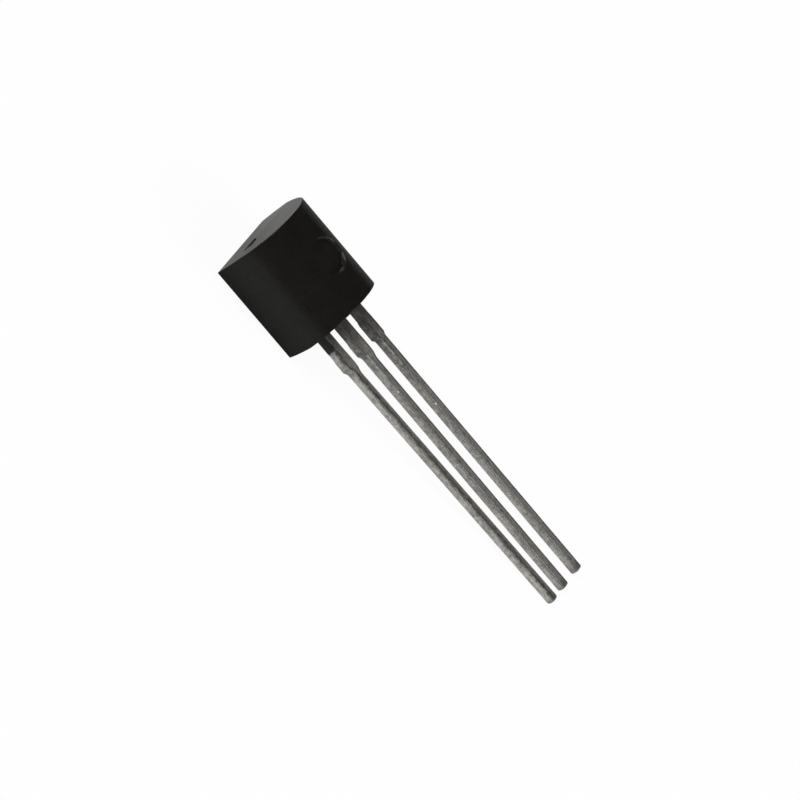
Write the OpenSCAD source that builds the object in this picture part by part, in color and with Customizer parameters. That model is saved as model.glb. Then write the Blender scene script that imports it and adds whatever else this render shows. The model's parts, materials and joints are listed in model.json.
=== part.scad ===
// TO-92 transistor: a small black moulded case with a flat front, and three leads in a row.
// It lies on the floor on its flat face, tipped forward onto the ends of its leads.
//
// Every piece is drawn in the case's own frame first: the lead-end face of the case at x = 0,
// the leads along +X, the row of leads along Y, and the flat face at z = 0.

/* [Case] */
// Radius of the rounded back
case_radius = 2.29; // [2.1:0.01:2.45]
// Length of the case along the leads
case_length = 4.58; // [4.2:0.01:5.2]
// Distance from the flat face to the centre of the rounded back
flat_distance = 1.17; // [0.9:0.01:1.4]
// Width of the flat face
flat_width = 4.03; // [3.6:0.01:4.1]
// Radius of the sides between the flat face and the rounded back
side_radius = 4.1; // [2.4:0.1:8]
// Draft of both end faces, away from the mould's parting plane, in degrees
end_draft = 2; // [0:0.25:5]

/* [Ejector mark] */
// Diameter of the round mark on the back
ejector_diameter = 1.68; // [1:0.02:1.8]
// Depth of the mark below the crown of the back
ejector_depth = 0.25; // [0.1:0.01:0.3]

/* [Gate scar] */
// Length of the broken gate's hollow on the top end face
gate_length = 1.16; // [0.6:0.02:1.4]
// Width of the hollow, from its front edge to its back edge
gate_width = 0.42; // [0.1:0.02:0.5]
// Depth of the hollow
gate_depth = 0.13; // [0.02:0.01:0.2]
// Sideways offset of the hollow from the middle
gate_offset = -0.9; // [-1.2:0.05:1.2]

/* [Leads] */
// Distance from one lead to the next
lead_pitch = 1.27; // [1.15:0.01:1.3]
// Length of the middle lead below the case
lead_length = 14.41; // [8:0.01:16]
// Thickness of the lead strip
lead_thickness = 0.38; // [0.36:0.01:0.5]
// Width of a lead along most of its length
lead_width = 0.42; // [0.38:0.01:0.54]
// Width of a lead beside the case
root_width = 0.62; // [0.56:0.01:0.75]
// Length of the wide stretch below the case
root_length = 1.82; // [1:0.01:2.4]
// Length of the taper between the wide stretch and the rest
shoulder_length = 0.16; // [0.1:0.01:0.4]
// Radius of the long edges
edge_radius = 0.07; // [0.05:0.01:0.12]
// Rounding at the cut tips
tip_rounding = 0.05; // [0.02:0.01:0.1]
// How far the leads' middle plane is behind the centre of the rounded back
lead_plane_shift = 0.27; // [0.1:0.01:0.4]
// Sideways bend of the emitter lead towards the middle one, in degrees
emitter_bend = 1.26; // [0:0.02:2]
// How much longer each lead is cut than the one before it
cut_step = 0.035; // [0:0.005:0.06]

/* [Inside] */
// Length of the pad that carries the die
pad_length = 1.9; // [1.4:0.05:2.1]
// Width of that pad
pad_width = 1.5; // [1.1:0.05:1.5]
// Length of each outer lead's bond post
post_length = 1; // [0.8:0.05:1.1]
// Width of a bond post
post_width = 0.72; // [0.65:0.01:0.74]
// Side of the square die
die_side = 0.5; // [0.4:0.01:0.6]
// Thickness of the die
die_thickness = 0.2; // [0.15:0.01:0.25]
// Thickness of the bond under the die
attach_thickness = 0.02; // [0.02:0.005:0.04]
// Diameter of the bond wires
wire_diameter = 0.05; // [0.04:0.005:0.06]

/* [Hidden] */
$fn = 96;

sliver = 0.002;                 // thickness of the slices that a hull joins
over = 1;                       // how far a cutting shape runs past what it cuts

// Case
parting_height = flat_distance + lead_plane_shift;      // the mould parts in the leads' middle plane
back_height = flat_distance + case_radius;
parting_half_width = sqrt(pow(case_radius, 2) - pow(lead_plane_shift, 2));
front_inset = parting_height * tan(end_draft);          // how far draft pulls in an end at the flat
back_inset = (back_height - parting_height) * tan(end_draft);
side_lean = parting_half_width - flat_width / 2;        // how much wider the case is at the parting plane
side_chord = sqrt(pow(side_lean, 2) + pow(parting_height, 2));
side_depth = sqrt(pow(side_radius, 2) - pow(side_chord / 2, 2));
side_centre = [                 // of the +Y side's curve
    (flat_width / 2 + parting_half_width) / 2 - side_depth * parting_height / side_chord,
    parting_height / 2 + side_depth * side_lean / side_chord
];
gate_back_start = -0.32;        // ends of the hollow's shorter back edge, as shares of its length
gate_back_end = 0.12;

// Leads
lead_bottom = parting_height - lead_thickness / 2;
lead_top = parting_height + lead_thickness / 2;
embedded = 0.3;                 // stretch inside the case that keeps the rounded edges
shoulder_end = root_length + shoulder_length;
function cut_length(place) = lead_length + place * cut_step;

// Inside
pad_start = -1.55;              // lead end of the die pad
post_start = -1.75;             // lead end of the bond posts
post_shift = 0.08;              // how far a post is moved outwards from its lead
lock_radius = 0.12;             // notches that lock the strip in the epoxy
die_x = pad_start - pad_length / 2;
attach_margin = 0.02;           // how far the bond shows around the die
die_top = lead_top + attach_thickness + die_thickness;

// Bond wires
wire_radius = wire_diameter / 2;
ball_radius = 0.06;
ball_height = 0.03;
riser_height = 0.1;
loop_radius = 0.15;
loop_turn = 112;                // turn from straight up to the slope down to the post
wire_start = [0.08, 0.12];      // from the middle of the die, along and across
wire_skew = 10;                 // turn of the wire away from straight across
foot = [0.15, 0.09, 0.03];      // flattened end of the wire on the post
loop_rise = riser_height + loop_radius * sin(180 - loop_turn);
slope_length = (die_top - lead_top + loop_rise - wire_radius) / cos(180 - loop_turn);
slope_reach = loop_radius * (1 + cos(180 - loop_turn)) + slope_length * sin(loop_turn);

// At rest: on the flat's lead-end edge and the lower edge of the longest lead's tip
rest_reach = cut_length(1) - tip_rounding + front_inset;
rest_pitch = atan(lead_bottom / rest_reach);
function rest_x(x, z) = (x + front_inset) * cos(rest_pitch) + z * sin(rest_pitch);
rest_back = rest_x(-case_length + front_inset, 0);
rest_tip = rest_x(cut_length(1), lead_top - tip_rounding);
rest_middle = (rest_back + rest_tip) / 2;

// Moves a piece from the case's frame to where it lies, with the origin under its middle.
module at_rest() {
    translate([-rest_middle, 0, 0])
        rotate([0, rest_pitch, 0])
            translate([front_inset, 0, 0])
                children();
}

// Turns a section drawn across (x) and up (y) to stand across the leads, extruded along +X.
module along_leads(length) {
    rotate([90, 0, 90])
        linear_extrude(length)
            children();
}

// --- Case ---

// Rounded behind the parting plane, with flatter curved sides in front of it.
module case_section() {
    intersection() {
        translate([0, flat_distance]) circle(r = case_radius);
        translate([-case_radius - over, parting_height])
            square([2 * (case_radius + over), case_radius + over]);
    }
    intersection() {
        translate(side_centre) circle(r = side_radius);
        translate([-side_centre.x, side_centre.y]) circle(r = side_radius);
        translate([-case_radius - over, 0])
            square([2 * (case_radius + over), parting_height]);
    }
}

// The side view: both ends slope in from the parting plane.
module case_profile() {
    polygon([
        [-front_inset, 0], [0, parting_height], [-back_inset, back_height],
        [-case_length + back_inset, back_height], [-case_length, parting_height],
        [-case_length + front_inset, 0]
    ]);
}

module case_blank() {
    intersection() {
        translate([-case_length - over, 0, 0])
            along_leads(case_length + 2 * over) case_section();
        translate([0, case_radius + over, 0])
            rotate([90, 0, 0])
                linear_extrude(2 * (case_radius + over))
                    case_profile();
    }
}

module ejector_mark() {
    translate([-case_length / 2, 0, back_height - ejector_depth])
        cylinder(h = ejector_depth + over, d = ejector_diameter);
}

// Where the gate broke off: a flat-fronted hollow, narrower towards the back.
module gate_scar() {
    translate([-case_length - over, gate_offset, parting_height - gate_width / 2])
        along_leads(over + gate_depth)
            polygon([
                [-gate_length / 2, 0], [gate_length / 2, 0],
                [gate_back_end * gate_length, gate_width], [gate_back_start * gate_length, gate_width]
            ]);
}

module moulded_case() {
    color([0.05, 0.05, 0.05]) at_rest()
        difference() {
            case_blank();
            ejector_mark();
            gate_scar();
            collector_strip();
            outer_strip(-1);
            outer_strip(1);
            die_block();
            attach_film();
            bond_wire(-1);
            bond_wire(1);
        }
}

// --- Leads ---

module rounded_section(width, height, radius) {
    square([width - 2 * radius, height], center = true);
    square([width, height - 2 * radius], center = true);
    for (x = [-1, 1], y = [-1, 1])
        translate([x * (width / 2 - radius), y * (height / 2 - radius)])
            circle(r = radius);
}

module lead_bar(start, length, width) {
    translate([start, 0, parting_height])
        along_leads(length)
            rounded_section(width, lead_thickness, edge_radius);
}

module tip_slice(x, shrink) {
    translate([x, 0, parting_height])
        along_leads(sliver)
            rounded_section(lead_width - 2 * shrink, lead_thickness - 2 * shrink,
                            max(edge_radius - shrink, sliver));
}

// The narrow stretch, from the end of the shoulder to the rounded tip.
module narrow_stretch(length) {
    reach = length - shoulder_end;
    lead_bar(0, reach - tip_rounding, lead_width);
    hull() {
        tip_slice(reach - tip_rounding - sliver, 0, $fn = 32);
        tip_slice(reach - tip_rounding / 3, tip_rounding / 3, $fn = 32);
        tip_slice(reach - sliver, tip_rounding * 0.8, $fn = 32);
    }
}

// What hangs from a lead's wide root: a short taper and the narrow stretch, turned by the bend.
module free_lead(length, bend) {
    hull() {
        lead_bar(root_length - sliver, sliver, root_width, $fn = 32);
        translate([shoulder_end, 0, 0]) rotate([0, 0, bend])
            lead_bar(0, sliver, lead_width, $fn = 32);
    }
    translate([shoulder_end, 0, 0]) rotate([0, 0, bend])
        narrow_stretch(length);
}

// The wide root, from inside the case to the taper.
module lead_root() {
    lead_bar(-embedded - sliver, root_length + embedded + sliver, root_width);
}

// The stamped strip inside the case, drawn in plan.
module strip_plate() {
    translate([0, 0, lead_bottom])
        linear_extrude(lead_thickness)
            children();
}

module collector_strip() {
    lead_root();
    strip_plate()
        difference() {
            union() {
                translate([pad_start - sliver, -root_width / 2])
                    square([-pad_start - embedded + sliver, root_width]);
                translate([pad_start - pad_length, -pad_width / 2])
                    square([pad_length, pad_width]);
            }
            for (y = [-1, 1])
                translate([(pad_start - embedded) / 2, y * root_width / 2])
                    circle(r = lock_radius);
        }
}

module outer_strip(side) {
    translate([0, side * lead_pitch, 0]) {
        lead_root();
        strip_plate()
            difference() {
                union() {
                    translate([post_start - sliver, -root_width / 2])
                        square([-post_start - embedded + sliver, root_width]);
                    translate([post_start - post_length, side * post_shift - post_width / 2])
                        square([post_length, post_width]);
                }
                translate([(post_start - embedded) / 2, -side * root_width / 2])
                    circle(r = lock_radius);
            }
    }
}

module emitter_lead() {
    color([0.6, 0.59, 0.56]) at_rest() {
        outer_strip(-1);
        translate([0, -lead_pitch, 0]) free_lead(cut_length(-1), emitter_bend);
    }
}

module collector_lead() {
    color([0.6, 0.59, 0.56]) at_rest() {
        collector_strip();
        free_lead(cut_length(0), 0);
    }
}

module base_lead() {
    color([0.6, 0.59, 0.56]) at_rest() {
        outer_strip(1);
        translate([0, lead_pitch, 0]) free_lead(cut_length(1), 0);
    }
}

// --- Die and its bond ---

module die_block() {
    translate([die_x - die_side / 2, -die_side / 2, lead_top + attach_thickness])
        cube([die_side, die_side, die_thickness]);
}

module attach_film() {
    side = die_side + 2 * attach_margin;
    translate([die_x - side / 2, -side / 2, lead_top])
        cube([side, side, attach_thickness]);
}

module silicon_die() {
    color([0.35, 0.37, 0.42]) at_rest() die_block();
}

module die_attach() {
    color([0.75, 0.75, 0.72]) at_rest() attach_film();
}

// --- Bond wires ---

// A ball on the die, a riser, a loop over the top and a straight slope to a flat foot on the post.
module wire_shape() {
    cylinder(h = ball_height, r = ball_radius);
    cylinder(h = riser_height, r = wire_radius);
    translate([loop_radius, 0, riser_height]) {
        rotate([90, 0, 0])
            rotate([0, 0, 180 - loop_turn])
                rotate_extrude(angle = loop_turn)
                    translate([loop_radius, 0]) circle(r = wire_radius);
        rotate([0, loop_turn - 90, 0])
            translate([0, 0, loop_radius])
                rotate([0, 90, 0])
                    cylinder(h = slope_length, r = wire_radius);
    }
    translate([slope_reach - foot.x / 3, -foot.y / 2, lead_top - die_top])
        cube(foot);
}

module bond_wire(side) {
    translate([die_x + wire_start.x, side * wire_start.y, die_top])
        rotate([0, 0, side * (90 - wire_skew)])
            wire_shape();
}

module emitter_bond_wire() {
    color([0.85, 0.65, 0.25]) at_rest() bond_wire(-1);
}

module base_bond_wire() {
    color([0.85, 0.65, 0.25]) at_rest() bond_wire(1);
}

moulded_case();
emitter_lead();
collector_lead();
base_lead();
silicon_die();
die_attach();
emitter_bond_wire();
base_bond_wire();
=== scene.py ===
import json
import math
import random
import bmesh
import bpy
from mathutils import Matrix, Vector, noise
from mathutils.geometry import delaunay_2d_cdt


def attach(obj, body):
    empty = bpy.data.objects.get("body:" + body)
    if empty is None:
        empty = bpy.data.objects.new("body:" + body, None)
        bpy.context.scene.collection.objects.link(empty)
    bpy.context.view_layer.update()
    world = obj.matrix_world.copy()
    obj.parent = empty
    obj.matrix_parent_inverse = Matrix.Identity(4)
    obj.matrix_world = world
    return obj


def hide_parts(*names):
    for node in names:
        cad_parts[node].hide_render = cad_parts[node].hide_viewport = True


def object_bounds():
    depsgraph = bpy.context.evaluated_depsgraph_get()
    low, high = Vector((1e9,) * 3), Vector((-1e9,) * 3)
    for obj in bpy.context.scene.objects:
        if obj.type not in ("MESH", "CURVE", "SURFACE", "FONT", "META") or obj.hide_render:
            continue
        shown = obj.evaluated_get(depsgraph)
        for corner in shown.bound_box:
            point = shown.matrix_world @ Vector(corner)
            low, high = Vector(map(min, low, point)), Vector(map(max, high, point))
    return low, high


# Sizes are in millimetres, in the case's own frame: the lead-end face at x = 0, the leads along +X,
# the row of leads along Y and the flat face at z = 0. Meshes are laid down and scaled when finished.
mm = 0.001

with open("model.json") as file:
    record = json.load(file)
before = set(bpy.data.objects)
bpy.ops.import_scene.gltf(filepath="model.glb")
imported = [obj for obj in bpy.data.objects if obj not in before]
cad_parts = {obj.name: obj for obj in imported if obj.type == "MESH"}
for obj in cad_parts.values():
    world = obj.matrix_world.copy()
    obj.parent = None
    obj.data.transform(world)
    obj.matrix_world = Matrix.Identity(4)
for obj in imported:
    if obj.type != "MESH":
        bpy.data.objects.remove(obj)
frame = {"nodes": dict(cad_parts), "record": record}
cadLow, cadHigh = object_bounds()
print("frame loaded:", len(frame["nodes"]), "nodes")

mounts = {mount["name"]: mount for mount in frame["record"]["mounts"]}

sizes = {
    "caseRadius": 2.29,
    "caseLength": 4.58,
    "flatDistance": 1.17,
    "flatWidth": 4.03,
    "sideRadius": 4.1,
    "partingHeight": 1.44,
    "endDraft": 2.0,
    "leadPitch": 1.27,
    "leadWidth": 0.42,
    "leadThickness": 0.38,
    "rootWidth": 0.62,
}

# How the case lies, from the flat face's mount: its middle and the way it faces
flatMount = mounts["front_flat"]
pitch = math.atan2(-flatMount["axis"][0], -flatMount["axis"][2])
layDown = (
    Matrix.Translation(Vector(flatMount["pos_m"]))
    @ Matrix.Rotation(pitch, 4, "Y")
    @ Matrix.Translation((sizes["caseLength"] / 2 * mm, 0, 0))
    @ Matrix.Scale(mm, 4)
)


# A socket that takes part in plain arithmetic; each operation adds a Math node to its tree.
class Reading:
    def __init__(self, graph, socket):
        self.graph = graph
        self.socket = socket

    def math(self, operation, *others, swap=False):
        terms = [self, *others]
        if swap:
            terms.reverse()
        return self.graph.add("ShaderNodeMath", {"operation": operation}, dict(enumerate(terms)))

    def __add__(self, other):
        return self.math("ADD", other)

    def __radd__(self, other):
        return self.math("ADD", other)

    def __sub__(self, other):
        return self.math("SUBTRACT", other)

    def __rsub__(self, other):
        return self.math("SUBTRACT", other, swap=True)

    def __mul__(self, other):
        return self.math("MULTIPLY", other)

    def __rmul__(self, other):
        return self.math("MULTIPLY", other)

    def __truediv__(self, other):
        return self.math("DIVIDE", other)

    def __pow__(self, other):
        return self.math("POWER", other)

    def __lt__(self, other):
        return self.math("LESS_THAN", other)

    def __gt__(self, other):
        return self.math("GREATER_THAN", other)

    def lower(self, other):
        return self.math("MINIMUM", other)

    def higher(self, other):
        return self.math("MAXIMUM", other)

    def root(self):
        return self.math("SQRT")

    def size(self):
        return self.math("ABSOLUTE")

    # 0 below start, 1 above end, with a soft start and end; start may be above end
    def ease(self, start, end):
        sockets = {"Value": self, "From Min": start, "From Max": end}
        return self.graph.add("ShaderNodeMapRange", {"interpolation_type": "SMOOTHSTEP"}, sockets)


# One tree being built. add() takes a node's type, its settings and the values or links of its sockets,
# and gives back one of its outputs, by name or number.
class Graph:
    def __init__(self, tree):
        self.tree = tree

    def add(self, kind, settings=None, sockets=None, out=0):
        node = self.tree.nodes.new(kind)
        for name, value in (settings or {}).items():
            setattr(node, name, value)
        for key, value in (sockets or {}).items():
            target = node.inputs[key]
            if isinstance(value, Reading):
                self.tree.links.new(value.socket, target)
            else:
                target.default_value = value
        if node.outputs:
            return Reading(self, node.outputs[out])

    def parts(self, vector):
        split = self.tree.nodes.new("ShaderNodeSeparateXYZ")
        self.tree.links.new(vector.socket, split.inputs[0])
        return [Reading(self, socket) for socket in split.outputs]

    def join(self, x, y, z):
        return self.add("ShaderNodeCombineXYZ", None, {0: x, 1: y, 2: z})

    def stretch(self, vector, scale):
        return self.add("ShaderNodeVectorMath", {"operation": "MULTIPLY"}, {0: vector, 1: scale})

    # an object's own coordinates, in millimetres
    def ownPlace(self):
        return self.stretch(self.add("ShaderNodeTexCoord", out="Object"), (1 / mm,) * 3)

    # what a mesh's points hold under a name
    def held(self, name, out="Fac"):
        return self.add("ShaderNodeAttribute", {"attribute_name": name}, out=out)

    def grain(self, place, scale, detail, roughness):
        sockets = {"Vector": place, "Scale": scale, "Detail": detail, "Roughness": roughness}
        return self.add("ShaderNodeTexNoise", None, sockets)

    # colours are a Mix node's sockets 6 and 7 and its output 2
    def blend(self, factor, first, second):
        return self.add("ShaderNodeMix", {"data_type": "RGBA"}, {0: factor, 6: first, 7: second}, out=2)

    def bump(self, height, depth):
        return self.add("ShaderNodeBump", None, {"Strength": 1.0, "Distance": depth * mm, "Height": height})


def rgba(colour):
    return (*colour, 1)


# A new material and its tree, which starts empty
def newMaterial(name):
    material = bpy.data.materials.new(name)
    material.use_nodes = True
    material.node_tree.nodes.clear()
    return material, Graph(material.node_tree)


def finishMaterial(graph, surface):
    graph.add("ShaderNodeOutputMaterial", None, {"Surface": surface})


epoxyLook = {
    "dark": (0.0040, 0.0036, 0.0026),
    "light": (0.0058, 0.0054, 0.0042),
    "broken": (0.055, 0.052, 0.046),
    "roughness": 0.27,
    "roughnessSpread": 0.04,
    "endRoughness": 0.4,
    "specular": 0.195,
    "grazeLoss": 0.8,           # share of the sheen that the moulded sides lose where they turn away
    "grazeRange": (0.12, 0.58),
    "grainSize": 0.045,
    "grainDepth": 0.0005,
    "blotchSize": 0.9,
}


def makeEpoxy(look):
    material, graph = newMaterial("mouldedEpoxy")
    place = graph.ownPlace()
    onEnd = graph.held("endFace")
    broken = graph.held("broken")
    grain = graph.grain(place, 1 / look["grainSize"], 3, 0.6)
    blotches = graph.grain(place, 1 / look["blotchSize"], 3, 0.5)
    specks = graph.grain(place, 4 / look["grainSize"], 1, 0.5)
    tone = (blotches * 0.7 + grain * 0.3).ease(0.3, 0.7)
    colour = graph.blend(tone, rgba(look["dark"]), rgba(look["light"]))
    # pale where the gate is broken off (its real fracture), and painted highlight on the ejector mark's
    # wall in place of its light and shade
    colour = graph.blend(broken * (0.5 + grain), colour, rgba(look["broken"]))
    rough = look["roughness"] + (grain * 0.5 + blotches * 0.5 - 0.5) * look["roughnessSpread"] * 2
    rough = rough + onEnd * (look["endRoughness"] - look["roughness"])
    bump = graph.bump(grain + specks * 0.35, look["grainDepth"])
    satin, matt = [
        graph.add("ShaderNodeBsdfPrincipled", None, {
            "Base Color": colour, "Roughness": rough, "Specular IOR Level": specular, "Normal": bump})
        for specular in (look["specular"], 0.0)
    ]
    # the moulded sides lose their sheen at grazing angles
    facing = graph.add("ShaderNodeLayerWeight", None, {"Blend": 0.5}, out="Facing")
    dulled = facing.ease(*look["grazeRange"]) * look["grazeLoss"] * (1 - onEnd)
    finishMaterial(graph, graph.add("ShaderNodeMixShader", None, {0: dulled, 1: satin, 2: matt}))
    return material


tinLook = {
    "bright": (0.49, 0.482, 0.457),
    "dull": (0.245, 0.24, 0.224),
    "glint": (0.67, 0.662, 0.636),
    "tarnishAndShade": (0.14, 0.136, 0.123),
    "stainAndShade": (0.054, 0.051, 0.045),
    "flash": (0.019, 0.0188, 0.0165),
    "glintSpot": (0.62, 0.61, 0.58),
    "roughness": 0.42,
    "specular": 0.15,
    "markLength": 0.5,          # of the marks that rolling leaves
    "markWidth": 0.045,
    "speckSize": 0.15,
    "bumpDepth": 0.0018,
    "sheenRange": (0.34, 0.64),         # noise from dulled tin to bright
    "pitRange": (0.43, 0.33),
    "glintRange": (0.66, 0.74),
    "topRange": (0.11, 0.17),   # heights above the middle where the top's own marks set in
    "ridgeIn": 0.12,            # from the top's -Y edge to the middle of the dark ridge beside it
    "ridgeReach": 0.12,
    "farReach": 0.18,           # width of the dark line along the top's +Y edge
    "tipReach": 0.6,            # dulled stretch before the cut tip
    "ridgeLitReach": 0.07,        # to either side of the painted highlight along the top's -Y edge
    "glintSpotReach": 0.075,
}


def makeTin(look):
    material, graph = newMaterial("dullTin")
    place = graph.held("leadPlace", out="Vector")
    flash, fromCase, fromTip, lowGap, highGap, topDull, farDark, shoulder, ridgeHighlight, scrape, fromGlintSpot = [
        graph.held(name) for name in ("flash", "fromCase", "fromTip", "lowGap", "highGap", "topDull",
                                      "farDark", "shoulder", "ridgeHighlight", "scrape", "fromGlintSpot")
    ]
    _, _, tall = graph.parts(place)
    along, across = 1 / look["markLength"], 1 / look["markWidth"]
    marks = graph.grain(graph.stretch(place, (along, across, across)), 1, 3, 0.6)
    mottle = graph.grain(graph.stretch(place, (0.8, 1.0, 1.0)), 1 / look["speckSize"], 4, 0.75)
    cloud = graph.grain(graph.stretch(place, (0.8, 2.0, 2.0)), 1, 2, 0.5)
    ragged = graph.grain(graph.stretch(place, (3.2, 5.0, 5.0)), 1, 4, 0.7)
    fine = graph.grain(place, 3 / look["speckSize"], 2, 0.6)
    # 1 on the bright tin and 0 where it is dull
    sheen = (marks * 0.04 + mottle * 0.68 + cloud * 0.28).ease(*look["sheenRange"])
    onTop = (tall + (ragged - 0.5) * topDull * 0.25).ease(*look["topRange"])
    pits = fine.ease(*look["pitRange"])
    shine = fine.ease(*look["glintRange"])
    worn = (sheen - pits * (0.22 + onTop * 0.75)).higher(0)
    colour = graph.blend(worn, rgba(look["dull"]), rgba(look["bright"]))
    colour = graph.blend(shine * 0.7, colour, rgba(look["glint"]))
    # distance from the top's -Y edge: across the top, and below 0 down that side
    pastEdge = lowGap + tall - sizes["leadThickness"] / 2
    # a ragged dark ridge runs along that edge, and a thin dark line along the +Y edge
    fromRidge = pastEdge + (ragged - 0.5) * (0.1 + topDull * 0.75)
    ridge = (fromRidge - look["ridgeIn"]).size().ease(look["ridgeReach"], 0.05) * tall.ease(-0.1, 0.0)
    ridge = ridge * (topDull + (1 - topDull) * mottle.ease(0.5, 0.38))
    farEdge = (highGap + (ragged - 0.5) * 0.1).ease(look["farReach"], 0.08) * tall.ease(0.0, 0.12)
    tipDull = (fromTip + (cloud - 0.5) * 0.4).ease(look["tipReach"], 0.05) * (0.45 + onTop * 0.5)
    dulled = onTop * topDull * (0.4 + (ragged - 0.5) * 1.2)
    dulled = dulled.higher(ridge * (0.5 + (cloud - 0.5) * 2)).higher(tipDull)
    colour = graph.blend(dulled, colour, rgba(look["tarnishAndShade"]))
    colour = graph.blend(ridge * topDull * 0.85, colour, rgba(look["stainAndShade"]))
    # a dark line along the top's +Y edge, made non-metal in the epoxy's colour
    black = farEdge * farDark
    colour = graph.blend(black, colour, rgba(look["flash"]))
    # painted shade at the shoulder, which dims the lamps' glints there
    colour = graph.blend(shoulder * 0.3, colour, rgba(look["tarnishAndShade"]))
    # darker towards the case: partly real stain, partly painted shade for the dark case and shaded floor
    # that the tin reflects there
    nearCase = (fromCase + (cloud - 0.5) * 0.4 + (mottle - 0.5) * 0.25).ease(1.0, 0.05)
    colour = graph.blend(nearCase * (0.96 - onTop * 0.12), colour, rgba(look["stainAndShade"]))
    # painted highlight: a bright streak along the top's -Y edge past the shoulder
    fromRidgeLit = (lowGap - 0.02 + (ragged - 0.5) * 0.08).size()
    ridgeLit = ridgeHighlight * fromRidgeLit.ease(look["ridgeLitReach"], 0.01) * tall.ease(0.07, 0.16)
    ridgeLit = ridgeLit * ragged.ease(0.35, 0.6) * mottle.ease(0.3, 0.55) * 0.85
    colour = graph.blend(ridgeLit, colour, rgba(look["glint"]))
    colour = graph.blend(scrape * onTop * 0.3, colour, rgba(look["bright"]))
    colour = graph.blend(flash, colour, rgba(look["flash"]))
    # a painted glint: a small white spot that is not metal
    glintSpot = (fromGlintSpot * fromGlintSpot + pastEdge * pastEdge).root().ease(look["glintSpotReach"], 0.03)
    colour = graph.blend(glintSpot, colour, rgba(look["glintSpot"]))
    rough = look["roughness"] + (1 - sheen) * 0.12 - shine * 0.16 + flash * 0.05
    rough = rough + shoulder * 0.3 - ridgeLit * 0.05 + fromTip.ease(0.2, 0.05) * 0.2
    bump = graph.bump(mottle - pits * 0.5, look["bumpDepth"])
    surface = graph.add("ShaderNodeBsdfPrincipled", None, {
        "Base Color": colour, "Metallic": 1 - flash.higher(black).higher(glintSpot), "Roughness": rough,
        "Specular IOR Level": look["specular"], "Normal": bump})
    finishMaterial(graph, surface)
    return material


epoxy = makeEpoxy(epoxyLook)
tin = makeTin(tinLook)
print("finishes made")


caseLook = {
    "arcStep": 1.2,             # degrees between rows round the back
    "axialStep": 0.06,
    "endRound": 0.035,          # rounding where the sides meet the end faces
    "endRings": 4,
    "cornerRound": 0.06,        # rounding of the long edges of the flat face
    "cornerRows": 6,
    "flatStep": 0.1,
    "sideRows": 20,
    "partingStep": 0.003,       # how far the front half of the mould sits inside the back half
    "facePoint": 0.12,          # spacing of points inside an end face
    "shuffle": 0.1,             # how far they are shuffled, as a share of it
    "creaseSteps": 40,          # points to either side along the parting line on an end face
    "weld": 0.0008,
    "sharpAngle": 35,           # degrees, past which an edge is shaded sharp
    "diceSeed": 5,
}

ejector = {
    "radius": 0.84,
    "depth": 0.25,
    "wallSlope": 6.0,           # degrees from upright
    "bevelSlope": 52.0,
    "bevelDrop": 0.03,
    "chipSlope": 37.0,          # where the rim is chipped, towards +X and +Y
    "chipDrop": 0.11,
    "chipHeading": 50.0,        # degrees from +Y towards +X
    "wallRough": 0.012,
    # how much painted highlight the wall gets, ring by ring from the rim to the floor
    "wallHighlights": (0.0, 0.05, 0.1, 0.3, 0.6, 0.65, 0.25, 0.03),
    "margin": 0.3,              # ring of remade surface round the mark
    "outerRings": (0.3, 0.52, 0.7, 0.83, 0.92, 0.97, 1.0),      # shares of the way over it, to the lip
    "lip": 0.02,                # unbroken surface left round the rim
    "edge": 0.016,              # rounding between the wall and the floor
    "floorRings": (0.93, 0.8, 0.6, 0.4, 0.2),                   # shares of the floor's radius
}

gate = {
    "offset": -0.9,
    "length": 1.16,
    "width": 0.42,
    "depth": 0.13,
    "backStart": -0.32,         # ends of the hollow's back edge, as shares of its length
    "backEnd": 0.12,
    "runs": (0.03, 0.04, 0.12, 0.3),    # from each edge in to the floor, the front edge first
    "spacing": 0.024,
    "band": 0.03,               # strip along the hollow's edges that has its own points
}

# The collar of epoxy that creeps up where a lead leaves the case
collar = {
    "corner": 0.09,
    "height": 0.035,
    "spread": 0.035,
    "reach": 0.2,
    "loops": (-0.03, 0, 0.02, 0.045, 0.08, 0.14),               # distances of its loops of points
    "margin": 0.16,
}

leadRows = [place * sizes["leadPitch"] for place in (-1, 0, 1)]
halfRoot = sizes["rootWidth"] / 2
halfThick = sizes["leadThickness"] / 2
backHeight = sizes["flatDistance"] + sizes["caseRadius"]
draftSlope = math.tan(math.radians(sizes["endDraft"]))


# How far the draft pulls an end face in at a height
def inset(z):
    return abs(z - sizes["partingHeight"]) * draftSlope


# Height of the rounded back
def backSurface(y):
    return sizes["flatDistance"] + math.sqrt(sizes["caseRadius"] ** 2 - y ** 2)


# Centre of the curve of the +Y side, between the flat face's edge and the parting plane
def sideCentre():
    halfFlat = sizes["flatWidth"] / 2
    parting = sizes["partingHeight"]
    halfTop = math.sqrt(sizes["caseRadius"] ** 2 - (parting - sizes["flatDistance"]) ** 2)
    chord = Vector((halfTop - halfFlat, parting))
    depth = math.sqrt(sizes["sideRadius"] ** 2 - chord.length_squared / 4)
    return Vector((halfFlat, 0)) + chord / 2 + Vector((-chord.y, chord.x)).normalized() * depth


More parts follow.
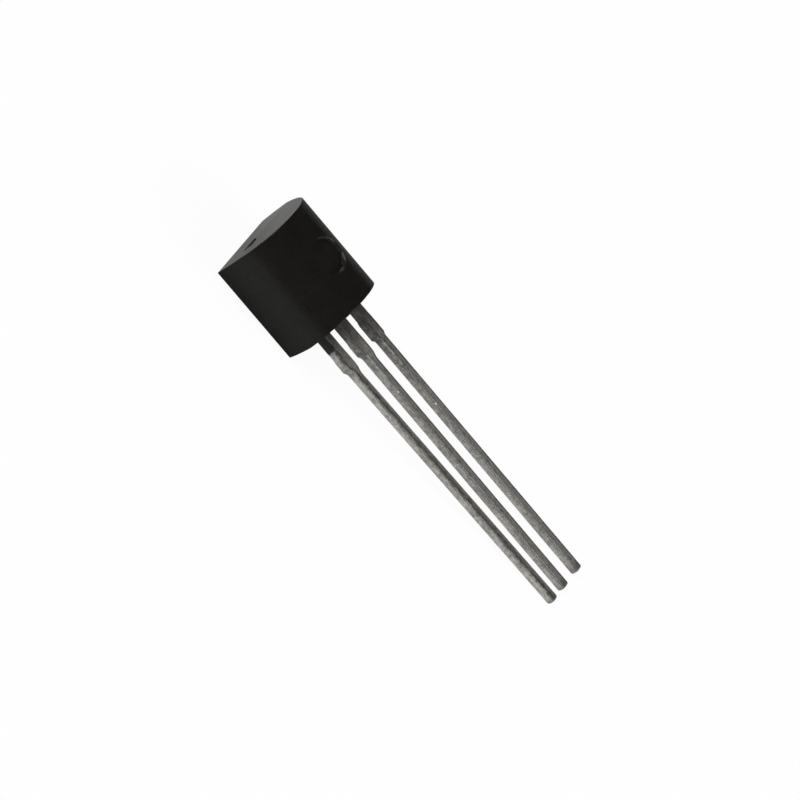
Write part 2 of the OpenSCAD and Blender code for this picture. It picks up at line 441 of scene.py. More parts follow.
# The case's outline across the leads, counterclockwise seen from the lead end. Each point is its y and z
# and the y and z of the way it faces.
def caseOutline():
    radius = sizes["caseRadius"]
    centre = sizes["flatDistance"]
    parting = sizes["partingHeight"]
    shift = parting - centre
    sweep = math.acos(shift / radius)
    steps = round(2 * sweep / math.radians(caseLook["arcStep"]))
    points = []
    for k in range(steps + 1):
        turn = sweep - 2 * sweep * k / steps
        out = (math.sin(turn), math.cos(turn))
        points.append((radius * out[0], centre + radius * out[1], *out))
    points[0] = (points[0][0], parting, 1.0, 0.0)
    points[-1] = (points[-1][0], parting, -1.0, 0.0)
    arcCount = len(points)
    # on the -Y side, the curve below the parting plane and the rounding at the flat face
    step = caseLook["partingStep"]
    bend = sizes["sideRadius"] - step
    cornerRound = caseLook["cornerRound"]
    hub = sideCentre()
    hub = Vector((-hub.x, hub.y))
    hubReach = math.sqrt((bend - cornerRound) ** 2 - (hub.y - cornerRound) ** 2)
    cornerHub = Vector((hub.x - hubReach, cornerRound))
    first = math.asin((parting - hub.y) / bend)
    last = -math.asin((hub.y - cornerRound) / (bend - cornerRound))
    side = []
    for k in range(caseLook["sideRows"] + 1):
        turn = first + (last - first) * k / caseLook["sideRows"]
        out = Vector((-math.cos(turn), math.sin(turn)))
        spot = hub + out * bend
        side.append((spot.x, spot.y, *(out if k else (-1.0, 0.0))))
    for k in range(1, caseLook["cornerRows"] + 1):
        turn = last + (-math.pi / 2 - last) * k / caseLook["cornerRows"]
        out = Vector((-math.cos(turn), math.sin(turn)))
        side.append((*(cornerHub + out * cornerRound), *out))
    flatHalf = -side[-1][0]
    flatCount = round(flatHalf / caseLook["flatStep"])
    flat = [(-flatHalf + flatHalf * k / flatCount, 0.0, 0.0, -1.0) for k in range(1, flatCount + 1)]
    mirrored = [(-y, z, -ny, nz) for y, z, ny, nz in reversed(side + flat[:-1])]
    return points + side + flat + mirrored, arcCount


# Fills an end face inside a closed ring, with loops of points that its relief follows
def endFace(ring, xAt, loops, extras, crease):
    flat = [Vector((co.y, co.z)) for co in ring]
    count = len(flat)
    edges = [(k, (k + 1) % count) for k in range(count)]
    spots = list(flat)
    for loop in loops:
        first = len(spots)
        spots.extend(Vector(p) for p in loop)
        edges.extend((first + k, first + (k + 1) % len(loop)) for k in range(len(loop)))
    first = len(spots)
    spots.extend(Vector(p) for p in crease)
    edges.extend((first + k, first + k + 1) for k in range(len(crease) - 1))
    spots.extend(Vector(p) for p in extras)
    made = delaunay_2d_cdt(spots, edges, [list(range(count))], 1, 1e-6)
    return [Vector((xAt(p.x, p.y), p.x, p.y)) for p in made[0]], made[2]


def insideOutline(y, z, gap):
    parting = sizes["partingHeight"]
    if z < gap or z > backHeight:
        return False
    if z >= parting:
        return math.hypot(y, z - sizes["flatDistance"]) < sizes["caseRadius"] - gap
    return (Vector((abs(y), z)) - sideCentre()).length < sizes["sideRadius"] - gap


# An even, slightly shuffled set of points inside the outline, clear of the given boxes
def faceField(gap, keepOut, dice):
    spacing = caseLook["facePoint"]
    shuffle = caseLook["shuffle"]
    spots = []
    rows = int(backHeight / spacing) + 1
    columns = int(sizes["caseRadius"] / spacing) + 1
    for row in range(rows):
        for column in range(-columns, columns + 1):
            y = (column + (row % 2) / 2) * spacing + dice.uniform(-shuffle, shuffle) * spacing
            z = row * spacing + dice.uniform(-shuffle, shuffle) * spacing
            if abs(z - sizes["partingHeight"]) < spacing * 0.4:
                continue
            blocked = any(low[0] < y < high[0] and low[1] < z < high[1] for low, high in keepOut)
            if not blocked and insideOutline(y, z, gap):
                spots.append((y, z))
    return spots


# A closed rounded rectangle of points round (y, z)
def roundedLoop(y, z, halfWide, halfHigh, corner, perCorner, perSide):
    hubs = [(y + signY * (halfWide - corner), z + signZ * (halfHigh - corner))
            for signY, signZ in ((1, 1), (-1, 1), (-1, -1), (1, -1))]
    spots = []
    for quarter, (hubY, hubZ) in enumerate(hubs):
        turn = quarter * math.pi / 2
        for k in range(perCorner + 1):
            angle = turn + math.pi / 2 * k / perCorner
            spots.append((hubY + corner * math.cos(angle), hubZ + corner * math.sin(angle)))
        nextY, nextZ = hubs[(quarter + 1) % 4]
        start = Vector(spots[-1])
        endAngle = (quarter + 1) * math.pi / 2
        end = Vector((nextY + corner * math.cos(endAngle), nextZ + corner * math.sin(endAngle)))
        for k in range(1, perSide):
            spot = start.lerp(end, k / perSide)
            spots.append((spot.x, spot.y))
    return spots


# Distance from the edge of a rounded rectangle, positive outside
def distanceToRounded(y, z, halfWide, halfHigh, corner):
    dy = abs(y) - halfWide + corner
    dz = abs(z) - halfHigh + corner
    outside = math.hypot(max(dy, 0), max(dz, 0))
    return outside + min(max(dy, dz), 0) - corner


# Where the relief of the leads' end face stands, and below it the same for the far end face
def leadEndX(y, z):
    x = -inset(z)
    for row in leadRows:
        away = distanceToRounded(y - row, z - sizes["partingHeight"], halfRoot, halfThick, collar["corner"])
        if away < collar["reach"]:
            rough = 0.75 + 0.5 * noise.noise(Vector((y * 9, z * 9, 3.7)))
            x += collar["height"] * rough * math.exp(-max(away, 0) / collar["spread"])
    return x


# Corners of the broken gate's hollow, counterclockwise in (y, z)
def gateCorners():
    low = sizes["partingHeight"] - gate["width"] / 2
    shares = ((-0.5, 0), (0.5, 0), (gate["backEnd"], 1), (gate["backStart"], 1))
    return [Vector((gate["offset"] + along * gate["length"], low + up * gate["width"]))
            for along, up in shares]


# Distance in from each edge of the hollow; the front edge comes first
def gateDepths(y, z):
    corners = gateCorners()
    depths = []
    for k, corner in enumerate(corners):
        edge = (corners[(k + 1) % 4] - corner).normalized()
        depths.append(edge.x * (z - corner.y) - edge.y * (y - corner.x))
    return depths


# How far the hollow is sunk at a point: 1 at its deepest. It's steepest at the front and +Y edges.
def gateSunk(y, z):
    depths = gateDepths(y, z)
    if min(depths) <= 0:
        return 0.0
    sunk = 1.0
    for depth, run in zip(depths, gate["runs"]):
        share = min(depth / run, 1)
        sunk *= share * share * (3 - 2 * share)
    return sunk


def topEndX(y, z):
    x = -sizes["caseLength"] + inset(z)
    sunk = gateSunk(y, z)
    if sunk:
        crumbs = noise.fractal(Vector((y * 14, z * 18, 1.3)), 1.0, 2.0, 4)
        x += gate["depth"] * sunk * (0.82 + 0.3 * crumbs)
    return x


# Points along a closed outline drawn in towards its middle, about a step apart
def loopPoints(corners, draw, step):
    middle = sum(corners, Vector((0, 0))) / len(corners)
    corners = [middle + (corner - middle) * (1 - draw / (corner - middle).length) for corner in corners]
    spots = []
    for k, corner in enumerate(corners):
        following = corners[(k + 1) % len(corners)]
        count = round((following - corner).length / step)
        spots.extend(corner.lerp(following, n / count) for n in range(count))
    return spots


# The points of each end face's relief: closed loops, the boxes they take up, and points inside those
def gatePoints():
    band = gate["band"]
    step = gate["spacing"]
    corners = gateCorners()
    loops = [loopPoints(corners, draw, band) for draw in (0, band)]
    low = (min(c.x for c in corners) - band, corners[0].y - band)
    high = (max(c.x for c in corners) + band, corners[2].y + band)
    inside = []
    for column in range(int(gate["length"] / step) + 1):
        for row in range(int(gate["width"] / step) + 1):
            y = corners[0].x + (column + (row % 2) / 2) * step
            z = corners[0].y + row * step
            if min(gateDepths(y, z)) > band:
                inside.append((y, z))
    return loops, [(low, high)], inside


def collarPoints():
    parting = sizes["partingHeight"]
    wide, high = halfRoot + collar["margin"], halfThick + collar["margin"]
    loops = [roundedLoop(row, parting, halfRoot + gap, halfThick + gap, collar["corner"] + gap, 5, 14)
             for row in leadRows for gap in collar["loops"]]
    boxes = [((row - wide, parting - high), (row + wide, parting + high)) for row in leadRows]
    return loops, boxes, []


# Fills both ends of the case's grid
def addEndFaces(bm, onEnd, broken, outline, rows):
    dice = random.Random(caseLook["diceSeed"])
    parting = sizes["partingHeight"]
    endRound = caseLook["endRound"]
    steps = caseLook["creaseSteps"]
    for toTop in (False, True):
        edgeRing = rows[-1] if toTop else rows[0]
        halfCrease = max(co.y for co in edgeRing if abs(co.z - parting) < 1e-6)
        crease = [(halfCrease * (k / steps), parting) for k in range(-steps, steps + 1)]
        inner = [(y - ny * (endRound + 0.02), z - nz * (endRound + 0.02)) for y, z, ny, nz in outline]
        inner = [p for p in inner if abs(p[1] - parting) > 0.02]
        loops, boxes, extras = gatePoints() if toTop else collarPoints()
        extras += faceField(endRound + 0.07, boxes, dice)
        xAt = topEndX if toTop else leadEndX
        cos, triangles = endFace(edgeRing, xAt, loops, extras + inner, crease)
        made = [bm.verts.new(co) for co in cos]
        for vert in made:
            vert[onEnd] = 1.0
            vert[broken] = gateSunk(vert.co.y, vert.co.z) if toTop else 0.0
        for triangle in triangles:
            bm.faces.new([made[c] for c in triangle])


def buildCase():
    outline, arcCount = caseOutline()
    around = len(outline)
    endRound = caseLook["endRound"]
    rings = caseLook["endRings"]
    length = sizes["caseLength"]
    stations = round((length - 2 * endRound) / caseLook["axialStep"])
    bm = bmesh.new()
    onEnd = bm.verts.layers.float.new("endFace")
    broken = bm.verts.layers.float.new("broken")

    def ringAt(toTop, k):
        lean = math.pi / 2 * k / rings
        made = []
        for y, z, ny, nz in outline:
            x = length / 2 - inset(z) - endRound + endRound * math.sin(lean)
            x = -length / 2 + (-x if toTop else x)
            back = endRound * (1 - math.cos(lean))
            made.append(Vector((x, y - ny * back, z - nz * back)))
        return made

    rows = [ringAt(False, k) for k in range(rings, 0, -1)]
    leadRing = ringAt(False, 0)
    topRing = ringAt(True, 0)
    for k in range(stations + 1):
        rows.append([a.lerp(b, k / stations) for a, b in zip(leadRing, topRing)])
    rows.extend(ringAt(True, k) for k in range(1, rings + 1))

    # the stretch of the grid that the round mark takes over
    middleX = -length / 2
    reach = ejector["radius"] + ejector["margin"]
    inRow = [r for r in range(len(rows)) if abs(rows[r][arcCount // 2].x - middleX) < reach]
    inColumn = [c for c in range(arcCount) if abs(outline[c][0]) < reach]
    rowLow, rowHigh = inRow[0], inRow[-1]
    columnLow, columnHigh = inColumn[0], inColumn[-1]
    grid = {}
    for r, row in enumerate(rows):
        for c, co in enumerate(row):
            if not (rowLow < r < rowHigh and columnLow < c < columnHigh):
                grid[r, c] = bm.verts.new(co)
    for r in range(len(rows) - 1):
        for c in range(around):
            if rowLow <= r < rowHigh and columnLow <= c < columnHigh:
                continue
            following = (c + 1) % around
            bm.faces.new((grid[r, c], grid[r, following], grid[r + 1, following], grid[r + 1, c]))

    border = [grid[rowLow, c] for c in range(columnLow, columnHigh)]
    border += [grid[r, columnHigh] for r in range(rowLow, rowHigh)]
    border += [grid[rowHigh, c] for c in range(columnHigh, columnLow, -1)]
    border += [grid[r, columnLow] for r in range(rowHigh, rowLow, -1)]
    addEjectorMark(bm, broken, border, middleX)
    addEndFaces(bm, onEnd, broken, outline, rows)
    bmesh.ops.remove_doubles(bm, verts=bm.verts, dist=caseLook["weld"])
    bmesh.ops.recalc_face_normals(bm, faces=bm.faces)
    parting = sizes["partingHeight"]
    for face in bm.faces:
        face.smooth = True
    for edge in bm.edges:
        if len(edge.link_faces) != 2:
            continue
        onParting = all(abs(v.co.z - parting) < 1e-4 for v in edge.verts)
        atEnd = all(v.co.x > -0.01 or v.co.x < 0.01 - length for v in edge.verts)
        if edge.calc_face_angle() > math.radians(caseLook["sharpAngle"]) or (onParting and atEnd):
            edge.smooth = False
    mesh = bpy.data.meshes.new("mouldedCase")
    bm.to_mesh(mesh)
    openEdges = sum(1 for edge in bm.edges if len(edge.link_faces) != 2)
    print("case:", len(bm.faces), "faces,", openEdges, "open edges, volume", round(bm.calc_volume(), 3))
    bm.free()
    return mesh


# The ejector mark's wall under one point of its rim, as steps of radius drawn in and height dropped
def wallProfile(heading, depth):
    edge = min(ejector["edge"], 0.2 * depth)
    chipTurn = math.radians(ejector["chipHeading"])
    chipped = max(heading.dot(Vector((math.sin(chipTurn), math.cos(chipTurn)))), 0) ** 2
    bevelSlope = ejector["bevelSlope"] + (ejector["chipSlope"] - ejector["bevelSlope"]) * chipped
    drop = ejector["bevelDrop"] + (ejector["chipDrop"] - ejector["bevelDrop"]) * chipped
    # the bevel fades to a fifth on the -Y side
    drop = min(drop, depth - 2.2 * edge) * (0.2 + 0.8 * min(max(heading.y + 0.7, 0), 1))
    draw = drop * math.tan(math.radians(bevelSlope))
    wall = (depth - edge - drop) * math.tan(math.radians(ejector["wallSlope"]))
    return (
        (0.0, 0.0),
        (0.15 * draw, 0.08 * drop),
        (0.5 * draw, 0.45 * drop),
        (0.93 * draw, 0.9 * drop),
        (draw, drop + 0.3 * edge),
        (draw + wall, depth - edge),
        (draw + wall + 0.3 * edge, depth - 0.3 * edge),
        (draw + wall + edge, depth),
    )


# The round recess that the mould's ejector pin leaves on the back, joined to the case's grid
def addEjectorMark(bm, broken, border, middleX):
    middle = Vector((middleX, 0))
    floorHeight = backHeight - ejector["depth"]

    def addRing(radii, heights, paintedLight=0.0):
        made = []
        for heading, radius, height in zip(headings, radii, heights):
            spot = middle + heading * radius
            if height is not None and height > floorHeight:
                spot += heading * ejector["wallRough"] * noise.noise(Vector((*(heading * 6), height * 9)))
            z = backSurface(spot.y) if height is None else height
            vert = bm.verts.new((spot.x, spot.y, z))
            # patchy painted highlight on the mark's wall
            vert[broken] = paintedLight * (0.8 + 1.2 * noise.noise(Vector((spot.x * 5, spot.y * 5, 4.1))))
            made.append(vert)
        return made

    def bridge(first, second):
        for k in range(len(first)):
            following = (k + 1) % len(first)
            bm.faces.new((first[k], first[following], second[following], second[k]))

    offsets = [Vector((v.co.x, v.co.y)) - middle for v in border]
    reaches = [offset.length for offset in offsets]
    headings = [offset.normalized() for offset in offsets]
    rim = ejector["radius"]
    count = len(border)
    previous = border
    for part in ejector["outerRings"]:
        ring = addRing([reach + (rim + ejector["lip"] - reach) * part for reach in reaches], [None] * count)
        bridge(previous, ring)
        previous = ring
    rimHeights = [backSurface((middle + heading * rim).y) for heading in headings]
    profiles = [wallProfile(heading, top - floorHeight) for heading, top in zip(headings, rimHeights)]
    for paintedLight, step in zip(ejector["wallHighlights"], zip(*profiles)):
        radii = [rim - draw for draw, _ in step]
        heights = [top - drop for top, (_, drop) in zip(rimHeights, step)]
        ring = addRing(radii, heights, paintedLight)
        bridge(previous, ring)
        previous = ring
    for part in ejector["floorRings"]:
        ring = addRing([radius * part for radius in radii], [floorHeight] * count, paintedLight)
        bridge(previous, ring)
        previous = ring
    hub = bm.verts.new((middle.x, middle.y, floorHeight))
    hub[broken] = paintedLight
    for k in range(count):
        bm.faces.new((previous[k], previous[(k + 1) % count], hub))


# Links a finished mesh as a piece that rides on the part, in its place in the frame
def placePiece(name, mesh, material, node):
    mesh.transform(layDown)
    mesh.materials.clear()
    mesh.materials.append(material)
    piece = bpy.data.objects.new(name, mesh)
    bpy.context.scene.collection.objects.link(piece)
    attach(piece, "root")
    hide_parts(node)
    return piece


placePiece("mouldedCase", buildCase(), epoxy, "moulded_case")
print("case built")


innerLooks = {
    "siliconDie": {
        "nodes": ("silicon_die",), "dark": (0.10, 0.11, 0.15), "light": (0.22, 0.24, 0.30),
        "metallic": 0.6, "roughness": 0.16, "grain": 60, "bumpDepth": 0.0001, "cells": 22,
    },
    "silverBond": {
        "nodes": ("die_attach",), "dark": (0.34, 0.34, 0.33), "light": (0.66, 0.66, 0.63),
        "metallic": 0.8, "roughness": 0.5, "grain": 40, "bumpDepth": 0.002, "cells": 0,
    },
    "goldWire": {
        "nodes": ("emitter_bond_wire", "base_bond_wire"),
        "dark": (0.70, 0.46, 0.14), "light": (0.95, 0.72, 0.32),
        "metallic": 1.0, "roughness": 0.24, "grain": 25, "bumpDepth": 0.0006, "cells": 0,
    },
}


# Finishes of what is sealed in the case: a die marked with its cells, its bond and two gold wires
def makeInner(name, look):
    material, graph = newMaterial(name)
    place = graph.ownPlace()
    grain = graph.grain(place, look["grain"], 3, 0.6)
    colour = graph.blend(grain.ease(0.3, 0.7), rgba(look["dark"]), rgba(look["light"]))
    if look["cells"]:
        cells = graph.add("ShaderNodeTexVoronoi", {"feature": "DISTANCE_TO_EDGE", "distance": "CHEBYCHEV"},
                          {"Vector": place, "Scale": look["cells"], "Randomness": 0.0})
        colour = graph.blend(cells.ease(0.10, 0.04), colour, rgba(look["dark"]))
    rough = look["roughness"] + (grain - 0.5) * 0.2
    bump = graph.bump(grain, look["bumpDepth"])
    surface = graph.add("ShaderNodeBsdfPrincipled", None, {
        "Base Color": colour, "Metallic": look["metallic"], "Roughness": rough, "Normal": bump})
    finishMaterial(graph, surface)
    return material


for name, look in innerLooks.items():
    finish = makeInner(name, look)
    for node in look["nodes"]:
        for slot in frame["nodes"][node].material_slots:
            slot.material = finish
print("inside finished")


stripInputs = {
    "Length": 14.41,            # from the case to the cut tip
    "Width": sizes["leadWidth"],
    "Thickness": sizes["leadThickness"],
    "Root Width": sizes["rootWidth"],
    "Root Length": 1.82,
    "Shoulder": 0.16,
    "Edge Radius": 0.06,
    "Tip Round": 0.11,
    "Bend": 0.0,                # degrees, in the plane of the leads
    "Pad Start": -1.55,
    "Pad Length": 1.9,
    "Pad Low": 0.75,            # half width of the pad towards -Y
    "Pad High": 0.75,
    "Notch At": -0.925,
    "Notch Radius": 0.12,
    "Notch Low": 1.0,           # 1 where the -Y edge has a locking notch, and High for the +Y edge
    "Notch High": 1.0,
    "Stub Low": 0.035,          # how far the trimmed tie bar stands out on each edge
    "Stub High": 0.015,
    "Stub Start": 1.05,
    "High Lag": 0.0,            # how much later the taper runs out on the +Y edge
    "Flash Low": 0.2,           # how far epoxy has crept along the -Y side
    "Flash Top": 0.12,          # and along the top
    "Stain And Shade Reach": 2.0,
    "Side Stain And Shade": 0.7,          # how much further the darkening reaches on the -Y side
    "Top Dull": 0.14,           # how dark the blotches on top are
    "Far Dark": 0.85,           # and the line along the top's +Y edge
    "Glint Spot At": -5.0,            # of a painted glint spot on the top's -Y edge, from the case; -5 leaves it out
    "Ridge Highlight": 1.0,             # how strong the painted highlight along the top's -Y edge is past the shoulder
    "Scrape": 0.0,              # how light the scrape beside the case is
    "Wave": 0.004,
    "Seed": 1.0,
}

stripMesh = {
    "rows": 620,
    "crowding": 1.35,           # above 1, rows of points crowd towards the tip
    "around": 44,
    "perCorner": 8,
}

leadSet = {
    "emitterLead": {
        "node": "emitter_lead", "place": -1, "Length": 14.375, "Pad Start": -1.75, "Pad Length": 1.0,
        "Pad Low": 0.44, "Pad High": 0.28, "Notch At": -1.025, "Notch Low": 0.0, "Root Length": 1.72,
        "Shoulder": 0.26, "Edge Radius": 0.09, "Flash Low": 0.85, "Flash Top": 0.0, "Stain And Shade Reach": 1.0,
        "Side Stain And Shade": 0.6, "Top Dull": 0.75, "Far Dark": 0.2, "Ridge Highlight": 0.0, "Scrape": 1.0,
        "Stub High": 0.01, "High Lag": 0.25, "Seed": 3.1,
    },
    "collectorLead": {
        "node": "collector_lead", "place": 0, "Root Length": 1.76, "Shoulder": 0.22, "Stub High": 0.01,
        "High Lag": 0.35, "Glint Spot At": 3.87, "Seed": 11.7,
    },
    "baseLead": {
        "node": "base_lead", "place": 1, "Length": 14.445, "Pad Start": -1.75, "Pad Length": 1.0,
        "Pad Low": 0.28, "Pad High": 0.44, "Notch At": -1.025, "Notch High": 0.0, "Root Width": 0.57,
        "Stub Low": 0.06, "Stub Start": 0.82, "Stain And Shade Reach": 2.9, "Side Stain And Shade": 2.0, "Glint Spot At": 5.40,
        "Seed": 23.9,
    },
}


# Half the strip's width along one of its edges, for the distance x from the case
def edgeReach(x, size, padHalf, stub, notch, lag):
    neck = x.ease(size["Root Length"] + lag * 0.5, size["Root Length"] + size["Shoulder"] + lag)
    half = size["Root Width"] / 2 - neck * (size["Root Width"] - size["Width"]) / 2
    stubEnd = size["Root Length"] + size["Shoulder"] * 0.3
    bulge = x.ease(size["Stub Start"], size["Stub Start"] + 0.22) * x.ease(stubEnd, stubEnd - 0.06)
    half = half + bulge * stub
    onPad = x < size["Pad Start"]
    half = half + onPad * (padHalf - half)
    fromNotch = (x - size["Notch At"]) / size["Notch Radius"]
    bite = (1 - fromNotch * fromNotch).higher(0).root() * size["Notch Radius"]
    return half - bite * notch


def buildStripTree(material):
    tree = bpy.data.node_groups.new("leadStrip", "GeometryNodeTree")
    tree.interface.new_socket("Geometry", in_out="OUTPUT", socket_type="NodeSocketGeometry")
    keys = {}
    for name, value in stripInputs.items():
        socket = tree.interface.new_socket(name, in_out="INPUT", socket_type="NodeSocketFloat")
        socket.default_value = value
        keys[name] = socket.identifier
    graph = Graph(tree)
    entry = tree.nodes.new("NodeGroupInput")
    size = {name: Reading(graph, entry.outputs[name]) for name in stripInputs}

    start = size["Pad Start"] - size["Pad Length"]
    line = graph.add("GeometryNodeCurvePrimitiveLine", None, {
        "Start": graph.join(start, 0.0, 0.0), "End": graph.join(size["Length"], 0.0, 0.0)})
    line = graph.add("GeometryNodeResampleCurve", {"mode": "COUNT"}, {
        "Curve": line, "Count": stripMesh["rows"]})
    # the rounding of the tip needs the rows closer together
    share = graph.add("GeometryNodeSplineParameter")
    crowded = size["Length"] - (size["Length"] - start) * (1 - share) ** stripMesh["crowding"]
    line = graph.add("GeometryNodeSetPosition", None, {
        "Geometry": line, "Position": graph.join(crowded, 0.0, 0.0)})

    section = graph.add("GeometryNodeCurvePrimitiveQuadrilateral", {"mode": "RECTANGLE"}, {
        "Width": size["Width"], "Height": size["Thickness"]})
    section = graph.add("GeometryNodeFilletCurve", {"mode": "POLY"}, {
        "Curve": section, "Count": stripMesh["perCorner"], "Radius": size["Edge Radius"]})
    section = graph.add("GeometryNodeResampleCurve", {"mode": "COUNT"}, {
        "Curve": section, "Count": stripMesh["around"]})
    strip = graph.add("GeometryNodeCurveToMesh", None, {
        "Curve": line, "Profile Curve": section, "Fill Caps": True})

    x, across, up = graph.parts(graph.add("GeometryNodeInputPosition"))
    flatHalf = size["Width"] / 2 - size["Edge Radius"]
    onFlat = across.lower(flatHalf).higher(flatHalf * -1)
    onEdge = across - onFlat
    high = edgeReach(x, size, size["Pad High"], size["Stub High"], size["Notch High"], size["High Lag"])
    low = edgeReach(x, size, size["Pad Low"], size["Stub Low"], size["Notch Low"], 0.0)
    isHigh = across > 0
    half = low + (high - low) * isHigh
    wide = onFlat / flatHalf * (half - size["Edge Radius"]) + onEdge
    # the cut tip draws in like a quarter circle
    intoTip = (1 - (size["Length"] - x) / size["Tip Round"]).higher(0).lower(1)
    drawn = size["Tip Round"] * (1 - (1 - intoTip * intoTip * 0.9).root())
    wide = wide * (1 - drawn / half)
    tall = up * (1 - drawn / (size["Thickness"] / 2))

    # a lead's own marks: its straight place, shifted by its seed so that no two are alike
    own = graph.join(x + size["Seed"] * 40, wide, tall)
    ripple = graph.grain(graph.stretch(own, (2.2, 4.0, 4.0)), 1.0, 2, 0.5)
    crumbs = graph.grain(own, 6.0, 3, 0.6)
    lowGap = wide + low
    onSide = lowGap.ease(0.22, 0.09)
    flashReach = size["Flash Top"] + (size["Flash Low"] - size["Flash Top"]) * onSide
    flashReach = flashReach + (crumbs - 0.5) * 0.3
    flash = x.ease(flashReach, flashReach - 0.08) * (x > -0.2)
    # a light scrape on top, beside the case
    fromScrape = (lowGap - 0.17 + (crumbs - 0.5) * 0.12).size()
    scrape = fromScrape.ease(0.10, 0.03) * x.ease(0.04, 0.2) * x.ease(0.6, 0.4) * size["Scrape"]

    strip = graph.add("GeometryNodeStoreNamedAttribute", {"data_type": "FLOAT_VECTOR", "domain": "POINT"}, {
        "Geometry": strip, "Name": "leadPlace", "Value": own})
    rootEnd = size["Root Length"]
    neckEnd = rootEnd + size["Shoulder"]
    pastNeck = x.ease(neckEnd - 0.2, neckEnd + 0.2) * x.ease(neckEnd + 2.0, neckEnd + 0.8)
    stored = {
        "flash": flash,
        "fromCase": x / (size["Stain And Shade Reach"] + onSide * size["Side Stain And Shade"]),
        "fromTip": size["Length"] - x,
        "lowGap": lowGap,
        "highGap": high - wide,
        "topDull": size["Top Dull"],
        "farDark": size["Far Dark"],
        "shoulder": x.ease(rootEnd - 0.25, rootEnd + 0.05) * x.ease(neckEnd + 0.2, neckEnd - 0.05),
        "ridgeHighlight": pastNeck * size["Ridge Highlight"],
        "scrape": scrape,
        "fromGlintSpot": x - size["Glint Spot At"],
    }
    for name, value in stored.items():
        strip = graph.add("GeometryNodeStoreNamedAttribute", {"data_type": "FLOAT", "domain": "POINT"}, {
            "Geometry": strip, "Name": name, "Value": value})

    # the bend starts where the shoulder ends
    isPast = x > neckEnd
    turn = size["Bend"] * math.pi / 180 * isPast
    pivot = neckEnd * isPast
    beyond = x - pivot
    bentX = beyond * turn.math("COSINE") - wide * turn.math("SINE") + pivot
    bentY = beyond * turn.math("SINE") + wide * turn.math("COSINE")
    strip = graph.add("GeometryNodeSetPosition", None, {
        "Geometry": strip, "Position": graph.join(bentX, bentY, tall)})
    # slight waves only take metal away, and crept epoxy stands a little proud
    normal = graph.add("GeometryNodeInputNormal")
    lift = graph.add("ShaderNodeVectorMath", {"operation": "SCALE"}, {
        0: normal, "Scale": flash * 0.01 - ripple * size["Wave"]})
    strip = graph.add("GeometryNodeSetPosition", None, {"Geometry": strip, "Offset": lift})
    strip = graph.add("GeometryNodeSetShadeSmooth", None, {"Geometry": strip, "Shade Smooth": True})
    strip = graph.add("GeometryNodeRealizeInstances", None, {"Geometry": strip})
    strip = graph.add("GeometryNodeSetMaterial", None, {"Geometry": strip, "Material": material})
    graph.add("NodeGroupOutput", None, {0: strip})
    return tree, keys


stripTree, stripKeys = buildStripTree(tin)


def buildLead(name, values):
    holder = bpy.data.objects.new(name + "Holder", bpy.data.meshes.new(name + "Holder"))
    bpy.context.scene.collection.objects.link(holder)
    modifier = holder.modifiers.new("strip", "NODES")
    modifier.node_group = stripTree
    for key, value in values.items():
        if key in stripKeys:
            modifier[stripKeys[key]] = value
    view = bpy.context.evaluated_depsgraph_get()
    mesh = bpy.data.meshes.new_from_object(
        holder.evaluated_get(view), preserve_all_data_layers=True, depsgraph=view)
    holder.modifiers.clear()
    bpy.data.objects.remove(holder)
    mesh.name = name
    mesh.transform(Matrix.Translation((0, values["place"] * sizes["leadPitch"], sizes["partingHeight"])))
    return placePiece(name, mesh, tin, values["node"])


emitterAxis = Vector(mounts["emitter_pin"]["axis"])
leadSet["emitterLead"]["Bend"] = math.degrees(math.asin(emitterAxis.y))
leads = [buildLead(name, values) for name, values in leadSet.items()]
for lead in leads:
    print(lead.name, len(lead.data.polygons), "faces")


# The floor's lengths are in metres
studio = {
    "floorColour": (0.90, 0.90, 0.895),
    "floorRadius": 0.30,
    "rimRadius": 0.20,          # radius of the curve where the floor turns up
    "rimTurn": 60,              # degrees that it turns through
    "rings": 8,                 # on the flat of the floor
    "rimRings": 12,
    "sides": 96,
    "gap": 0.002 * mm,          # between the floor and what lies on it
    "nearSky": (0.35, 0.347, 0.34),     # on the camera's side
    "farSky": (0.245, 0.245, 0.241),
    "zenith": (0.155, 0.155, 0.152),
    "skyRange": (-0.9, 0.9),    # from the near sky to the far one
    "zenithRange": (0.72, 1.0),
    "plainShare": 0.95,         # share of plain white that the camera sees in the floor
    "mirrorShare": 0.4,         # the same for reflections and what shows through glass
}


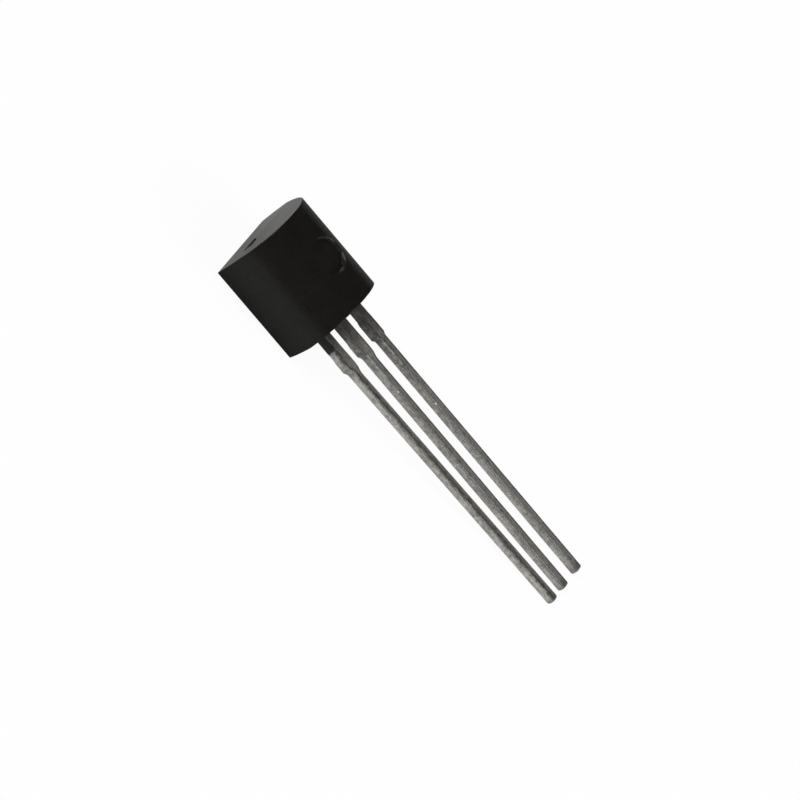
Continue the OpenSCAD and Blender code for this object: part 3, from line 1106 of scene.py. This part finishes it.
def buildFloor():
    rings = studio["rings"]
    rimRings = studio["rimRings"]
    profile = [(studio["floorRadius"] * k / rings, 0.0) for k in range(1, rings + 1)]
    for k in range(1, rimRings + 1):
        turn = math.radians(studio["rimTurn"]) * k / rimRings
        profile.append((studio["floorRadius"] + studio["rimRadius"] * math.sin(turn),
                        studio["rimRadius"] * (1 - math.cos(turn))))
    bm = bmesh.new()
    hub = bm.verts.new((0, 0, 0))
    previous = None
    sides = studio["sides"]
    for radius, height in profile:
        ring = [bm.verts.new((radius * math.cos(2 * math.pi * k / sides),
                              radius * math.sin(2 * math.pi * k / sides), height)) for k in range(sides)]
        for k in range(sides):
            following = (k + 1) % sides
            if previous:
                bm.faces.new((previous[k], ring[k], ring[following], previous[following]))
            else:
                bm.faces.new((hub, ring[k], ring[following]))
        previous = ring
    for face in bm.faces:
        face.smooth = True
    mesh = bpy.data.meshes.new("floor")
    bm.to_mesh(mesh)
    bm.free()
    mesh.transform(Matrix.Translation((0, 0, cadLow.z - studio["gap"])))
    material, graph = newMaterial("paleFloor")
    lit = graph.add("ShaderNodeBsdfDiffuse", None, {"Color": rgba(studio["floorColour"])})
    plain = graph.add("ShaderNodeEmission", None, {"Color": (1, 1, 1, 1), "Strength": 1.0})
    path = graph.tree.nodes.new("ShaderNodeLightPath")
    camera, glossy, through = [Reading(graph, path.outputs[kind])
                               for kind in ("Is Camera Ray", "Is Glossy Ray", "Is Transmission Ray")]
    seen = camera * studio["plainShare"] + glossy.higher(through) * studio["mirrorShare"]
    surface = graph.add("ShaderNodeMixShader", None, {0: seen, 1: lit, 2: plain})
    finishMaterial(graph, surface)
    mesh.materials.append(material)
    floor = bpy.data.objects.new("floor", mesh)
    bpy.context.scene.collection.objects.link(floor)
    return floor


floor = buildFloor()

world = bpy.data.worlds.new("studio")
bpy.context.scene.world = world
world.use_nodes = True
worldGraph = Graph(world.node_tree)
_, skyAcross, skyUp = worldGraph.parts(worldGraph.add("ShaderNodeTexCoord"))
sky = worldGraph.blend(skyAcross.ease(*studio["skyRange"]), rgba(studio["nearSky"]), rgba(studio["farSky"]))
sky = worldGraph.blend(skyUp.ease(*studio["zenithRange"]), sky, rgba(studio["zenith"]))
world.node_tree.links.new(sky.socket, world.node_tree.nodes["Background"].inputs["Color"])

# Two wide, soft lamps: the way each shines from, its strength, and how wide it looks in degrees
lampSet = {
    "topEndLamp": {"from": (-0.72, -0.20, 0.66), "strength": 1.75, "spread": 40},
    "leadEndLamp": {"from": (0.80, -0.05, 0.60), "strength": 1.65, "spread": 40},
}

for name, lamp in lampSet.items():
    light = bpy.data.lights.new(name, "SUN")
    light.energy = lamp["strength"]
    light.angle = math.radians(lamp["spread"])
    holder = bpy.data.objects.new(name, light)
    holder.rotation_mode = "QUATERNION"
    holder.rotation_quaternion = Vector(lamp["from"]).to_track_quat("Z", "Y")
    bpy.context.scene.collection.objects.link(holder)

# Turns in degrees, lengths in millimetres
cameraView = {
    "azimuth": 9.522,
    "elevation": 42.065,
    "roll": 52.399,
    "distance": 234.78,
    "aim": (-0.5955, 0.4846, -1.4954),   # from the middle of the part
    "lens": 263.62,
    "sensor": 36,
}


def placeCamera(view):
    azimuth = math.radians(view["azimuth"])
    elevation = math.radians(view["elevation"])
    roll = math.radians(view["roll"])
    forward = Vector((math.sin(azimuth) * math.cos(elevation), math.cos(azimuth) * math.cos(elevation),
                      -math.sin(elevation)))
    level = forward.cross(Vector((0, 0, 1))).normalized()
    rise = level.cross(forward)
    right = level * math.cos(roll) + rise * math.sin(roll)
    up = right.cross(forward)
    aim = (cadLow + cadHigh) / 2 + Vector(view["aim"]) * mm
    place = aim - forward * view["distance"] * mm
    data = bpy.data.cameras.new("camera")
    data.lens = view["lens"]
    data.sensor_width = view["sensor"]
    data.clip_start = 0.01
    data.clip_end = 10
    camera = bpy.data.objects.new("camera", data)
    turned = Matrix((right, up, -forward)).transposed().to_4x4()
    camera.matrix_world = Matrix.Translation(place) @ turned
    bpy.context.scene.collection.objects.link(camera)
    bpy.context.scene.camera = camera


placeCamera(cameraView)
bpy.context.scene.view_settings.view_transform = "Standard"
print("floor, lamps and camera placed")
